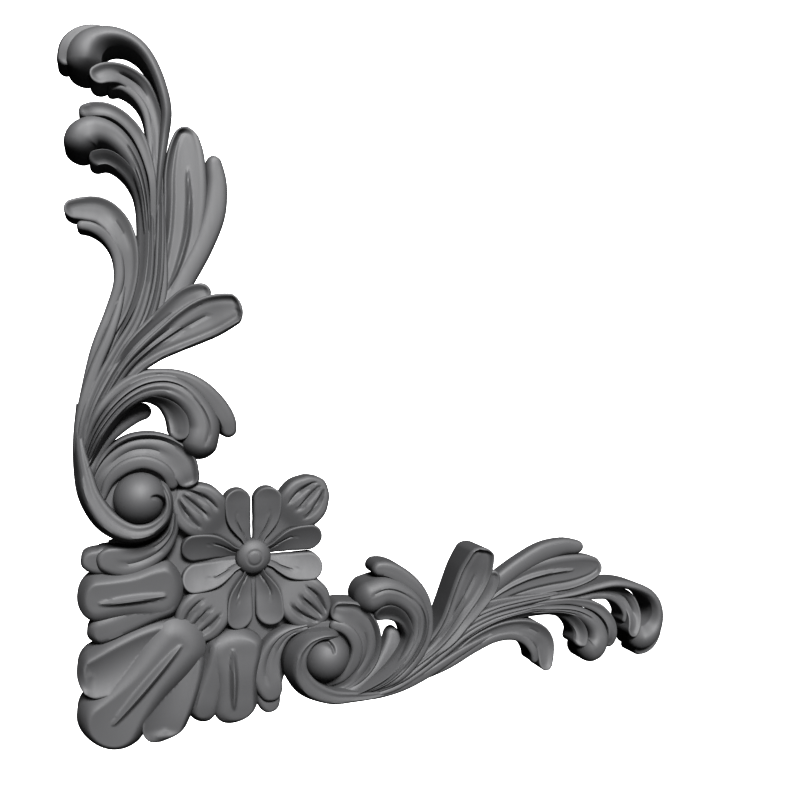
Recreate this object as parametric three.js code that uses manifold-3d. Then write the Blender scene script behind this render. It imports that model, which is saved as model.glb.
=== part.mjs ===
import * as THREE from 'three';
import { mergeVertices } from 'three/addons/utils/BufferGeometryUtils.js';
import Module from 'manifold-3d';

// Carved wood corner applique, in millimetres.
// It stands against a wall: the flat back lies in the plane y = 0, the carving faces -Y,
// one arm runs up along +Z and the other along +X.
// The origin is on the flat back, behind the middle of the flower.

// Reach of each arm from the middle of the flower to the top of its end curl
const ARM_REACH = 222;
// Height of the carving at the eye of the volute
const RELIEF = 22;
// Thickness of the flat ground under the flower
const GROUND_THICKNESS = 3;
// Flower petals
const PETAL_REACH = 31;
const PETAL_HALF_WIDTH = 6;
const PETAL_TIP_HEIGHT = 8;
// Sepals that show between the petals, measured along their own middle line
const SEPAL_REACH = 46;
const SEPAL_HALF_WIDTH = 11;
const SEPAL_HEIGHT = 9.5;
// Boss in the middle of the flower
const BOSS_RADIUS = 7.7;
const BOSS_HEIGHT = 9;
// Round eye of the volute, and the hollow bed round it
const EYE_RADIUS = 10.4;
const EYE_BED_WIDTH = 3.6;
// Raised midribs of the corner, side and tall leaves
const RIB_HEIGHT = 2.2;
const RIB_HALF_WIDTH = 2.1;

// The carving is drawn in parts: 222 parts to the arm and 22 parts to the relief
const PLAN = ARM_REACH / 222;
const RISE = RELIEF / 22;
// Least height of any edge of the carving
const LEAST_EDGE = 0.8 * RISE;

const wasm = await Module();
wasm.setup();

// Turn a closed geometry into a solid, dropping the faces that shrink to nothing at a tip
function solidOf(geometry) {
  const plain = geometry.clone();
  plain.deleteAttribute('normal');
  plain.deleteAttribute('uv');
  const merged = mergeVertices(plain, 0.0001);
  const index = Array.from(merged.index.array);
  const kept = [];
  for (let i = 0; i < index.length; i += 3) {
    const [a, b, c] = index.slice(i, i + 3);
    if (a !== b && b !== c && c !== a) {
      kept.push(a, b, c);
    }
  }
  const mesh = new wasm.Mesh({
    numProp: 3,
    vertProperties: new Float32Array(merged.attributes.position.array),
    triVerts: new Uint32Array(kept),
  });
  return new wasm.Manifold(mesh);
}

// Distances along a leaf where it is shaped: even steps, then short ones round its ends
function stopsAlong(length, capRoot, capTip, steps) {
  const stops = [];
  const turns = capTip > 3 * PLAN ? [0, 0.42, 0.76, 1] : [0, 0.6, 1];
  const start = capRoot > 0 ? capRoot : 0;
  const end = length - capTip;
  if (capRoot > 0) {
    turns.slice(0, turns.length - 1).forEach((turn) => {
      const angle = turn * Math.PI / 2;
      stops.push({ at: capRoot * (1 - Math.cos(angle)), full: Math.sin(angle) });
    });
  }
  for (let i = 0; i <= steps; i += 1) {
    stops.push({ at: start + (end - start) * i / steps, full: 1 });
  }
  turns.slice(1).forEach((turn) => {
    const angle = turn * Math.PI / 2;
    stops.push({ at: end + capTip * Math.sin(angle), full: Math.cos(angle) });
  });
  return stops;
}

// Places across a leaf where it is shaped, from its left edge to its right edge
const COLUMNS = { 2: [-1, 0, 1], 3: [-1, -0.45, 0.45, 1], 4: [-1, -0.68, 0, 0.68, 1] };

// A carved leaf on a flat back. Each station of its spine gives x, z, half width and height.
// lean lifts the right hand side over the left and hollow sinks the middle. Towards the left and
// the right edge the front rounds off over the lengths in roll, down by the heights in fall.
function leaf({
  stations, lean = 0, hollow = 0, roll = [1.5, 1.5], fall = [1.2, 1.2], rootRound = false, steps = 8,
  across = 4,
}) {
  const plan = stations.map(([x, z]) => new THREE.Vector3(x * PLAN, z * PLAN, 0));
  const sizes = stations.map(([, , width, height]) => new THREE.Vector3(width * PLAN, height * RISE, 0));
  const spine = new THREE.CatmullRomCurve3(plan, false, 'catmullrom', 0.5);
  const section = new THREE.CatmullRomCurve3(sizes, false, 'catmullrom', 0.5);
  spine.arcLengthDivisions = 240;
  const length = spine.getLength();
  const capTip = Math.min(sizes[sizes.length - 1].x, length / 3);
  const capRoot = rootRound ? Math.min(sizes[0].x, length / 3) : 0;
  const stops = stopsAlong(length, capRoot, capTip, steps);
  const along = stops.length - 1;
  const geometry = new THREE.BoxGeometry(2, along, 1, across, along, 1);
  const position = geometry.attributes.position;
  const columns = COLUMNS[across];
  for (let i = 0; i < position.count; i += 1) {
    const side = columns[Math.round((position.getX(i) + 1) / 2 * across)];
    const stop = stops[Math.round(position.getY(i) + along / 2)];
    const u = spine.getUtoTmapping(Math.min(stop.at / length, 1));
    const middle = spine.getPoint(u);
    const tangent = spine.getTangent(u);
    const { x: width, y: height } = section.getPoint(u);
    const half = width * stop.full;
    const front = position.getZ(i) > 0;
    const edge = (1 - Math.abs(side)) * half;
    const drops = roll.map((inset, k) => {
      const reach = Math.min(inset * PLAN, width);
      const turn = 1 - Math.min(edge / reach, 1);
      return fall[k] * RISE * reach / (inset * PLAN) * (1 - Math.sqrt(1 - turn * turn));
    });
    const hand = side * stop.full;
    const drop = drops[0] * (1 - hand) / 2 + drops[1] * (1 + hand) / 2;
    const tilt = side * lean * RISE / 2 * stop.full;
    const sink = hollow * RISE * (1 - side * side) * stop.full;
    const rise = Math.max(height + tilt - sink - drop, LEAST_EDGE);
    const x = middle.x + tangent.y * half * side;
    const z = middle.y - tangent.x * half * side;
    position.setXYZ(i, x, front ? -rise : 0, z);
  }
  return solidOf(geometry);
}

// A rounded boss on a straight foot, standing on the flat back
function dome(x, z, radius, foot, top, rings) {
  const profile = [new THREE.Vector2(0, 0), new THREE.Vector2(radius, 0)];
  for (let i = 0; i < rings; i += 1) {
    const angle = i / rings * Math.PI / 2;
    profile.push(new THREE.Vector2(radius * Math.cos(angle), foot + (top - foot) * Math.sin(angle)));
  }
  profile.push(new THREE.Vector2(0, top));
  const geometry = new THREE.LatheGeometry(profile, 8 + rings * 2);
  geometry.scale(1, -1, 1);
  geometry.translate(x, 0, z);
  const index = geometry.index.array;
  for (let i = 0; i < index.length; i += 3) {
    [index[i], index[i + 1]] = [index[i + 1], index[i]];
  }
  return solidOf(geometry);
}

// A raised boat shaped rib, running from one point to another on a front of the given height.
// Its lower half is sunk in that front.
function rib(from, to, height, share) {
  const [x0, z0, x1, z1] = [...from, ...to].map((place) => place * PLAN);
  const length = Math.hypot(x1 - x0, z1 - z0);
  const geometry = new THREE.SphereGeometry(1, 8, 4);
  geometry.scale(length / 2, RIB_HEIGHT * share * 2, RIB_HALF_WIDTH * share);
  geometry.rotateY(-Math.atan2(z1 - z0, x1 - x0));
  geometry.translate((x0 + x1) / 2, RIB_HEIGHT * share - height * RISE, (z0 + z1) / 2);
  return solidOf(geometry);
}

// Leaves of the upright arm, from the end curl down to the corner
const ARM_LEAVES = [
  // stem that carries the leaves
  {
    stations: [[-70, 52, 2, 13], [-66.5, 70, 3.6, 12], [-58.5, 88, 4.4, 11.5], [-48.5, 104, 4.4, 11.5],
      [-41, 122, 4, 11.5], [-38.6, 145, 3.2, 11], [-36.5, 166, 2, 10.5]],
    steps: 6,
    across: 2,
  },
  // end curl: band with its ball end, and the outer lip
  {
    stations: [[-37, 150.5, 1.1, 10.5], [-36, 165.5, 1.3, 11], [-34, 180, 1.8, 12], [-33, 191, 2.1, 14],
      [-35.5, 202, 2.3, 15], [-39.8, 211, 2.6, 15.5], [-45, 215.8, 3.1, 16], [-51, 217.4, 3.7, 16.5],
      [-57, 216.3, 4.6, 17], [-61.8, 212.5, 5.8, 17.8], [-64, 207, 6.4, 18], [-63.3, 200, 6, 16]],
    roll: [2.6, 3.4],
    fall: [5, 4.5],
    steps: 9,
    across: 3,
  },
  {
    stations: [[-54, 221, 0.8, 13], [-60, 220.5, 1.3, 13.5], [-66, 217.2, 2, 14], [-70.5, 211.5, 2.4, 14],
      [-72.2, 202.5, 2.2, 12.5]],
    across: 2,
    steps: 4,
  },
  // second curl leaf and its lower lobe
  {
    stations: [[-36.5, 146.5, 1.2, 10], [-36.5, 161, 1.5, 10], [-37, 174, 2.4, 9.8], [-37.2, 185, 3.4, 9.6],
      [-39.8, 194.5, 4, 9.5], [-44, 201, 4.4, 10], [-50.5, 203.5, 4.2, 12], [-56.5, 202, 4, 14.5],
      [-61.5, 198.5, 3.2, 16]],
    hollow: 1,
    steps: 6,
    across: 3,
  },
  {
    stations: [[-39, 151, 1, 9], [-39.5, 167, 1.1, 9], [-39.8, 180, 1.3, 9], [-41, 189.5, 1.6, 9],
      [-44.8, 195.7, 1.7, 9.5], [-50.5, 199, 1.8, 10.5], [-55.5, 198, 1.7, 10.5]],
    across: 3,
    steps: 5,
  },
  // third curl leaf: top lobe, middle lobe with a ball end, inner scoop
  {
    stations: [[-38.5, 146.5, 1.1, 11], [-39, 157.5, 1.3, 11], [-40.5, 168.5, 1.9, 11.5],
      [-44, 178.5, 2.6, 12], [-49, 184.5, 2.8, 13], [-55, 187.5, 2.9, 14], [-61, 187.5, 2.9, 14],
      [-66.5, 186, 2.4, 12]],
    across: 3,
    steps: 5,
  },
  {
    stations: [[-41, 142, 1.3, 12], [-42, 155, 1.9, 12.5], [-45, 165.5, 3, 13], [-49.5, 173.5, 4.2, 14],
      [-55, 178.2, 5.3, 15], [-61, 179, 6, 16.5], [-65.6, 175.5, 6.4, 17], [-66.8, 168.2, 6, 15]],
    roll: [3, 3.4],
    fall: [4, 4.5],
    steps: 7,
    across: 3,
  },
  {
    stations: [[-53.5, 100, 1.6, 9], [-47.5, 112.5, 1.9, 9], [-44.5, 126.5, 2.1, 9], [-43.5, 143, 2.2, 9],
      [-44.5, 154.5, 2, 9.5], [-47.5, 162, 2.3, 10], [-52, 167, 2.7, 10.5], [-57, 169, 3, 11.5],
      [-63, 167, 2.8, 12.5]],
    lean: 5,
    across: 3,
    steps: 7,
  },
  // left leaf: main lobe and lower lobe
  {
    stations: [[-66.5, 75, 1.4, 11], [-60.5, 93, 2.2, 10], [-53, 108.5, 3.2, 9.5], [-49.7, 122.5, 4, 9.5],
      [-50, 134.5, 4.6, 10], [-53.5, 143, 5.3, 10], [-59, 148, 5.5, 9.7], [-65.5, 148.5, 4.8, 10.5],
      [-73, 147, 3.2, 12.5]],
    hollow: 1,
    steps: 7,
    across: 3,
  },
  {
    stations: [[-68.8, 72, 1.2, 10.5], [-63.5, 91, 1.6, 10], [-57, 107.5, 2, 9.5], [-53.3, 119.5, 2.1, 9.5],
      [-53.5, 130, 2.2, 9.5], [-57, 137, 2.2, 10], [-62.5, 141, 2.2, 11], [-68.5, 141.8, 1.9, 11]],
    across: 3,
    steps: 6,
  },
  // tall leaf: main lobe and side lobe
  {
    stations: [[-60, 77, 1.6, 11.5], [-51, 92, 2.6, 11], [-41.5, 107.5, 4, 9.5], [-33, 122.5, 6, 8],
      [-28, 139, 8, 7], [-26, 153.5, 8.9, 6.8], [-25.5, 166.5, 8.9, 6.7], [-24.8, 178, 7.2, 6.5],
      [-24.3, 187.2, 3.6, 6.3]],
    hollow: 1,
    steps: 6,
  },
  {
    stations: [[-55, 77, 2, 10], [-45, 92, 3, 9], [-35, 107.5, 4, 7.5], [-27, 122, 4.4, 6.5],
      [-19.5, 136, 4.6, 6], [-14, 150.5, 5, 5.5], [-12.2, 163, 4.5, 5], [-13.2, 175.5, 3.2, 4.6]],
    across: 3,
    steps: 5,
  },
  // right leaf: small lobe and main lobe
  {
    stations: [[-58.5, 79, 1.8, 13], [-50, 91.5, 2.8, 13], [-41.5, 100.5, 3.6, 13], [-33.5, 107.5, 4.3, 13.5],
      [-27, 112.7, 4.8, 14], [-21.7, 115.5, 4.3, 14.5], [-17, 116.6, 3, 14.5]],
    steps: 5,
    across: 3,
  },
  {
    stations: [[-57.5, 72, 2.6, 13.5], [-49.5, 83.5, 3.8, 14], [-41.5, 91, 5, 14.5], [-33.5, 96.5, 6.6, 14.5],
      [-25.5, 101.5, 8.2, 14.5], [-18, 105.5, 8.8, 14.8], [-11.5, 108, 7.8, 16], [-4.5, 110, 5.6, 17.2]],
    hollow: 1.2,
    steps: 6,
  },
  // arched leaf over the volute: outer lobe, middle lobe with a ball end, inner scoop
  {
    stations: [[-68.8, 52, 1, 14], [-63.5, 65, 1.8, 14], [-55.5, 75, 2.4, 14], [-46, 81, 2.2, 14],
      [-36.5, 82.3, 2, 14], [-28, 80.3, 2.5, 14], [-21, 75.5, 3.2, 14], [-15, 68.5, 3.8, 13.5],
      [-11.2, 61, 3.7, 13], [-10.4, 53.5, 3.2, 12]],
    steps: 8,
    across: 3,
  },
  {
    stations: [[-68.6, 46, 1.2, 15], [-63, 57.5, 2.2, 15.5], [-55, 68.5, 3.4, 16], [-46, 75, 4.3, 16],
      [-37, 76.6, 4.9, 16], [-29.5, 73.6, 5.4, 16], [-23.8, 67.3, 6, 16], [-21, 59.5, 6.8, 16.5],
      [-22.8, 52.2, 7.4, 16.8], [-24.2, 45.3, 6.8, 15]],
    roll: [3, 3],
    fall: [4, 4],
    steps: 9,
    across: 3,
  },
  {
    stations: [[-66.5, 45, 0.8, 13], [-60.5, 56, 1.4, 13], [-53, 65.5, 1.8, 12.5], [-45.5, 70.8, 1.6, 12],
      [-38.5, 69.3, 2.6, 11.5], [-34, 65.5, 4, 11.5], [-32.2, 60.5, 5, 12], [-31.8, 53, 4.6, 13.5]],
    lean: -6,
    across: 3,
    steps: 7,
  },
  // bud under the arch
  {
    stations: [[-66.3, 43, 1.6, 12], [-64, 49, 2.4, 11], [-60, 56.5, 3.6, 10], [-54.5, 62.3, 4.4, 8.5],
      [-48.5, 65.8, 4.2, 6.5], [-41.5, 66.6, 3, 4.5]],
    roll: [2.5, 2.5],
    fall: [2, 2],
    steps: 5,
    across: 3,
  },
  // volute band, rolling in to the eye
  {
    stations: [[-70, 66, 1.4, 13], [-70, 54, 2.2, 13.5], [-68.8, 42.5, 3.6, 15], [-66.3, 31.7, 4.4, 16.5],
      [-60.3, 22, 4.9, 17.5], [-52, 16.6, 4.6, 18], [-44, 16.8, 3.9, 18.5], [-38.2, 21.2, 2.8, 18.8],
      [-36.2, 26.5, 1.8, 19], [-36.3, 31.5, 1.9, 19], [-38.6, 35.8, 1.9, 18.5], [-42.5, 38.4, 1.6, 17]],
    lean: -3,
    roll: [1.2, 3.8],
    fall: [1, 9],
    steps: 11,
    across: 3,
  },
  // fan leaf over the eye: outer lobe and inner lobe
  {
    stations: [[-63, 33, 1, 10], [-61.5, 41, 2.4, 11], [-57, 48, 4.6, 11.5], [-50, 52, 5.2, 12],
      [-42.5, 52.3, 5.8, 12], [-36, 49.5, 6.4, 12], [-31, 45, 6, 12], [-27.8, 40, 4.6, 12],
      [-26, 34.4, 3.2, 11]],
    hollow: 0.8,
    steps: 8,
    across: 3,
  },
  {
    stations: [[-61.5, 32, 1.2, 10.5], [-58.8, 39, 2, 11.5], [-53, 44.2, 2.4, 12.5], [-46, 45.9, 2.4, 13],
      [-40, 44, 2.3, 13], [-36, 40.3, 2.2, 12.5], [-33.7, 34.3, 2, 11]],
    across: 3,
    steps: 6,
  },
  // leaf under the volute: front lobe and back lobe
  {
    stations: [[-33.6, 23, 1.6, 10], [-34.8, 15, 2.4, 10], [-39, 9, 4, 10], [-45.5, 5.6, 5, 10],
      [-52.5, 4.4, 6, 10.5], [-59, 5.6, 5.4, 11], [-64.9, 7.8, 3.4, 11]],
    steps: 5,
  },
  {
    stations: [[-52, 6, 4, 7], [-60, 5.5, 5.5, 8], [-66, 6.8, 4.8, 9], [-70.3, 9.5, 3, 9]],
    steps: 3,
    across: 3,
  },
  // side leaf: main lobe and lower lobe
  {
    stations: [[-30.5, -9.3, 10.5, 10.5], [-36, -9.3, 11.8, 12], [-42, -9, 11.4, 12.5],
      [-50, -9, 9.6, 13], [-58, -9.2, 9.5, 13], [-65, -9.4, 9.8, 13], [-72.5, -9.6, 9.2, 12.5]],
    rootRound: true,
    roll: [5, 3.4],
    fall: [4, 7],
    hollow: 0.4,
    steps: 5,
  },
  {
    stations: [[-31.5, -14.5, 4.6, 10.5], [-38, -16.8, 5.4, 11], [-46, -19, 5.8, 11], [-54, -21.4, 6.2, 11.5],
      [-61.5, -23.6, 6.4, 11.5], [-69, -25, 5.4, 11]],
    roll: [3, 3],
    fall: [4, 4],
    steps: 4,
    across: 3,
  },
  // corner leaf: side lobe
  {
    stations: [[-31, -27.5, 5, 11.5], [-38, -29.5, 7.8, 13], [-46, -32.4, 9.6, 14], [-55, -36, 10.4, 15],
      [-63, -38.8, 10, 15.5], [-73, -41, 8.2, 15.5]],
    hollow: 2.6,
    roll: [1.2, 3.6],
    fall: [1, 8],
    steps: 5,
  },
];

// Middle lobe of the corner leaf, on the diagonal
const CORNER_LOBE = {
  stations: [[-26, -26, 11.5, 12], [-32, -32, 11.8, 13.4], [-42, -42, 11.4, 15], [-51, -51, 12.4, 16.4],
    [-59, -59, 15, 17.4], [-68.7, -68.7, 16, 17.4]],
  rootRound: true,
  roll: [6, 6],
  fall: [7, 7],
  hollow: 0.5,
  steps: 6,
};

// Swap x and z of a solid, to mirror it in the diagonal
function mirrored(solid) {
  return solid.mirror([1, 0, -1]);
}

// Petals in four pairs, split by a slit, each pair turned a quarter further
function petals() {
  const reach = PETAL_REACH / PLAN;
  const half = PETAL_HALF_WIDTH / PLAN;
  const tip = PETAL_TIP_HEIGHT / RISE;
  const bodies = [];
  for (let quarter = 0; quarter < 4; quarter += 1) {
    [-1, 1].forEach((side) => {
      const stations = [[0.05, 0.12, 0.25, 0.62], [0.095, 0.29, 0.43, 0.64], [0.135, 0.4, 0.66, 0.7],
        [0.195, 0.58, 0.93, 0.8], [0.212, 0.8, 1, 0.92], [0.2, 1, 0.96, 1]];
      const turned = stations.map(([out, up, width, height]) => {
        const x = side * out * reach;
        const z = up * reach;
        const turn = quarter * Math.PI / 2;
        const px = x * Math.cos(turn) - z * Math.sin(turn);
        const pz = x * Math.sin(turn) + z * Math.cos(turn);
        return [px, pz, width * half, height * tip];
      });
      bodies.push(leaf({ stations: turned, lean: 3.8 * side, hollow: 0.6, steps: 3, across: 2 }));
    });
  }
  return bodies;
}

// Sepals on the four diagonals
function sepals() {
  const root = BOSS_RADIUS / 2 / PLAN;
  const length = SEPAL_REACH / PLAN - root;
  const half = SEPAL_HALF_WIDTH / PLAN;
  const top = SEPAL_HEIGHT / RISE;
  return [1, 3, 5, 7].map((eighth) => {
    const turn = eighth * Math.PI / 4;
    const stations = [[0, 0.2, 0.5], [0.24, 0.28, 0.54], [0.37, 0.4, 0.62], [0.45, 0.65, 0.76],
      [0.53, 0.92, 0.9], [0.63, 1.02, 1], [0.78, 1, 1], [1, 0.92, 0.9]].map(([share, width, height]) => {
      const out = root + share * length;
      return [out * Math.cos(turn), out * Math.sin(turn), width * half, height * top];
    });
    return leaf({ stations, roll: [2.2, 2.2], fall: [2.2, 2.2], steps: 5, across: 3 });
  });
}

// Flat ground that ties the flower, the corner leaves and the volutes together
function ground() {
  const half = [[-60, -60], [-60, 12], [-42, 18], [-37, 37], [-25, 36], [-20, 16], [-10, 10]];
  const outline = [...half, ...half.slice(1).reverse().map(([x, z]) => [z, x])];
  const shape = new THREE.Shape(outline.map(([x, z]) => new THREE.Vector2(x * PLAN, z * PLAN)));
  const geometry = new THREE.ExtrudeGeometry(shape, { depth: GROUND_THICKNESS, bevelEnabled: false });
  geometry.rotateX(Math.PI / 2);
  return solidOf(geometry);
}

// Middle of the volute, round which its band turns
const EYE_X = -47.3 * PLAN;
const EYE_Z = 30.8 * PLAN;

const armBodies = ARM_LEAVES.map((entry) => leaf(entry));
armBodies.push(dome(EYE_X, EYE_Z, EYE_RADIUS, RELIEF * 0.55, RELIEF, 4));
armBodies.push(dome(EYE_X, EYE_Z, EYE_RADIUS + EYE_BED_WIDTH, RELIEF * 0.4, RELIEF * 0.42, 2));
armBodies.push(rib([-64, -11], [-38, -11], 12.8, 1));
armBodies.push(rib([-24.6, 170], [-28, 135], 6, 0.8));
const bodies = [...armBodies, ...armBodies.map((body) => mirrored(body))];
bodies.push(leaf(CORNER_LOBE));
bodies.push(rib([-33, -33], [-59.5, -59.5], 15.6, 1.25));
bodies.push(ground());
bodies.push(...petals());
bodies.push(...sepals());
bodies.push(dome(0, 0, BOSS_RADIUS, BOSS_HEIGHT * 0.55, BOSS_HEIGHT, 4));

const carving = wasm.Manifold.union(bodies).asOriginal().getMesh();
const geometry = new THREE.BufferGeometry();
geometry.setAttribute('position', new THREE.BufferAttribute(new Float32Array(carving.vertProperties), 3));
geometry.setIndex(new THREE.BufferAttribute(new Uint32Array(carving.triVerts), 1));
geometry.computeVertexNormals();

const material = new THREE.MeshStandardMaterial({ color: 0x4a4a4b, roughness: 0.5, metalness: 0 });
material.name = 'carved_wood';
const mesh = new THREE.Mesh(geometry, material);
mesh.name = 'corner_applique';

const group = new THREE.Group();
group.name = 'corner_applique_set';
group.add(mesh);

export default group;
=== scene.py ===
"""Carved wood corner applique: the fine carving, its satin grey finish and a plain studio.

The applique stands upright against +Y with its flat back in the plane y = 0. One arm runs up
along +Z, the other along +X, and the carving faces -Y. Plan sizes are in millimetres from the
middle of the flower, and heights are in millimetres from the flat back.
"""

import logging
import math
from dataclasses import dataclass
from enum import Enum

import bpy
import numpy as np
from mathutils import Matrix, Vector


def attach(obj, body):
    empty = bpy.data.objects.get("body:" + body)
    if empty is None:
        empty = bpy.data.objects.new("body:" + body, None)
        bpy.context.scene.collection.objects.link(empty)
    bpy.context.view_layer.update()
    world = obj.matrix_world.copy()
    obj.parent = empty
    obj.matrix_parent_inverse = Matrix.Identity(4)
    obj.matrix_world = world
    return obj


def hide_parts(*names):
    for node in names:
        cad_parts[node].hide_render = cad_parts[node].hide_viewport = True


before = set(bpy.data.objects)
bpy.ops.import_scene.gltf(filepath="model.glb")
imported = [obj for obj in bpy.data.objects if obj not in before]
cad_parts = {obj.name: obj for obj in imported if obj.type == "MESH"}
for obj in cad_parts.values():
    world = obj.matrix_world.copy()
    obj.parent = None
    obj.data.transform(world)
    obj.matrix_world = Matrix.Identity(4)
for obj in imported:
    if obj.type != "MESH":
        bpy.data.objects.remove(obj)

LOG = logging.getLogger("corner_applique")
MM = 0.001
CAD_NODE = "corner_applique"
# Thickness of the flat ground under the flower, and least height of any carved edge, in mm
GROUND_THICKNESS = 3.0
LEAST_EDGE = 0.8
# Half width below which the end of a leaf counts as a point, in mm
POINTED = 1e-6


class Edge(Enum):
    """How the front of a leaf meets its side."""

    ROUND = "rounded over"
    BEVEL = "cut off at a slant"


@dataclass(frozen=True)
class Groove:
    """One line cut or raised along a leaf.

    Attributes:
        start: where it starts, as a share of the leaf's length.
        end: where it ends, as a share of the leaf's length.
        sides: its place across the leaf at its start, middle and end, from -1 to 1.
        half_width: half its width in mm.
        depth: its depth in mm, below 0 for a raised line.
    """

    start: float
    end: float
    sides: tuple[float, float, float]
    half_width: float = 0.5
    depth: float = 1.2


@dataclass(frozen=True)
class Leaf:
    """A carved leaf with a flat back, shaped along its spine.

    Attributes:
        name: what it is.
        stations: x, z, half width and height of the points of its spine.
        lean: how much higher its right edge is than its left edge.
        hollow: how far its middle sinks.
        roll: how far in from its left and right edges the rounding starts.
        fall: how deep its left and right edges drop over that.
        tip: length of its round end, as a share of its last half width.
        rim: height of a raised bead along its left and right edges.
        edges: how its left and right edges are shaped.
        fineness: how much finer than usual it is meshed across.
        root_round: whether its root end is round too.
        root_roll: the roll at its root, where that differs from its tip.
        root_fall: the fall at its root, where that differs from its tip.
        grooves: lines cut along it.
    """

    name: str
    stations: tuple[tuple[float, float, float, float], ...]
    lean: float = 0.0
    hollow: float = 0.0
    roll: tuple[float, float] = (1.5, 1.5)
    fall: tuple[float, float] = (1.2, 1.2)
    tip: float = 1.0
    rim: tuple[float, float] = (0.0, 0.0)
    edges: tuple[Edge, Edge] = (Edge.ROUND, Edge.ROUND)
    fineness: float = 1.0
    root_round: bool = False
    root_roll: tuple[float, float] | None = None
    root_fall: tuple[float, float] | None = None
    grooves: tuple[Groove, ...] = ()


@dataclass(frozen=True)
class Flower:
    """Sizes of the flower in mm."""

    petal_reach: float = 31.0
    petal_half_width: float = 6.0
    petal_tip_height: float = 8.0
    sepal_reach: float = 46.0
    sepal_half_width: float = 11.0
    sepal_height: float = 9.5
    boss_radius: float = 7.7
    boss_height: float = 9.0
    boss_foot: float = 4.95
    boss_ring_depth: float = 0.3


@dataclass(frozen=True)
class EdgeShape:
    """How the edges of all leaves are shaped, in mm.

    Attributes:
        slant: how a slanted edge falls, where 1 is straight and more is scooped.
        root_slant: the same at the root of a leaf with a root roll of its own.
        slant_ease: how much less scooped such a leaf is at its tip.
        bead_start: furthest in that the bead of a rounded edge starts.
        bead_place: distance from there to the middle of the bead.
        bead_width: half width of the bead.
        gutter_place: distance from there to the middle of the gutter inside the bead.
        gutter_width: half width of the gutter.
        gutter_share: depth of the gutter, as a share of the bead's height.
    """

    slant: float = 1.4
    root_slant: float = 2.2
    slant_ease: float = 0.8
    bead_start: float = 1.6
    bead_place: float = 0.6
    bead_width: float = 0.8
    gutter_place: float = 2.5
    gutter_width: float = 1.1
    gutter_share: float = 0.6


@dataclass(frozen=True)
class HookCut:
    """The line cut in the eye of the volute, in mm.

    Attributes:
        points: how many points its path is followed through.
        depth: its depth at its far end.
        half_width: half its width at its start.
        widening: how much wider it is at its far end.
        least_height: the least height that it leaves.
    """

    points: int = 60
    depth: float = 4.5
    half_width: float = 0.5
    widening: float = 0.6
    least_height: float = 1.0


@dataclass(frozen=True)
class Detail:
    """How finely the carving is meshed.

    Attributes:
        step_along: step along a leaf in mm.
        step_across: step across a leaf in mm.
        end_steps: steps round the end of a leaf, for each step_across of that end's length.
        least_steps: fewest steps along or across any part of a leaf.
        spine_points: points that a spine is measured through.
        look_ahead: share of a spine, before and after a place, that gives its direction there.
        around: steps round a dome.
        upward: rings of a dome.
        sharp_angle: angle between faces that still shade as one surface, in degrees.
    """

    step_along: float = 1.4
    step_across: float = 0.8
    end_steps: float = 2.6
    least_steps: int = 8
    spine_points: int = 241
    look_ahead: float = 0.002
    around: int = 96
    upward: int = 30
    sharp_angle: float = 46.0


@dataclass(frozen=True)
class Finish:
    """A satin painted finish over carved wood.

    Attributes:
        name: name of the material.
        colour: colour of the paint, sRGB.
        darker_colour: its colour where it settles a little darker, sRGB.
        cloud_size: size of those places in mm.
        roughness: roughness of the paint.
        rough_below: how much smoother it is in places.
        rough_above: how much rougher it is in places.
        gloss: specular level of the paint.
        grain_pitch: distance between the lines of the grain in mm.
        grain_stretch: share of the pattern's pitch kept along the grain.
        grain_bump: height of the grain in mm.
        grain_strength: how strongly that height shows.
    """

    name: str
    colour: str
    darker_colour: str
    cloud_size: float
    roughness: float
    rough_below: float
    rough_above: float
    gloss: float
    grain_pitch: float
    grain_stretch: float
    grain_bump: float
    grain_strength: float


@dataclass(frozen=True)
class PhotoView:
    """The camera recovered from the photograph, in mm and degrees."""

    place: tuple[float, float, float] = (-58.75, -333.4, 78.9)
    right: tuple[float, float, float] = (0.9293, -0.3690, -0.0151)
    up: tuple[float, float, float] = (0.0253, 0.0229, 0.9994)
    focal_px: float = 737.6
    width_px: float = 800.0
    sensor_mm: float = 36.0


@dataclass(frozen=True)
class Lamp:
    """A square soft light, in metres and watts."""

    name: str
    place: tuple[float, float, float]
    power: float
    side: float = 0.8


@dataclass(frozen=True)
class Ball:
    """A round ball end, eye or boss, in mm.

    Attributes:
        x: place of its centre along +X.
        z: place of its centre along +Z.
        radius: radius of its foot.
        foot: height of its straight wall.
        top: height of its top.
        dimple: depth of a ring cut round its top.
        ring_place: radius of that ring, as a share of the radius of the foot.
        ring_width: half width of that ring.
        hook: path of a line cut in it, deepest at its far end.
    """

    x: float
    z: float
    radius: float
    foot: float
    top: float
    dimple: float = 0.0
    ring_place: float = 0.42
    ring_width: float = 0.55
    hook: tuple[tuple[float, float], ...] = ()


STEM_BED = Leaf(
    "stem bed",
    ((-69.5, 50, 2.6, 9), (-65.5, 64, 5.5, 9), (-59.5, 78, 7.2, 9), (-52, 91.5, 7.8, 8.5),
     (-45.5, 104, 7.4, 8), (-40.5, 118.5, 6.5, 8), (-38.5, 139, 4.6, 8), (-37, 159, 2.5, 8)),
    roll=(1, 1), fall=(0.8, 0.8),
)

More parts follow.
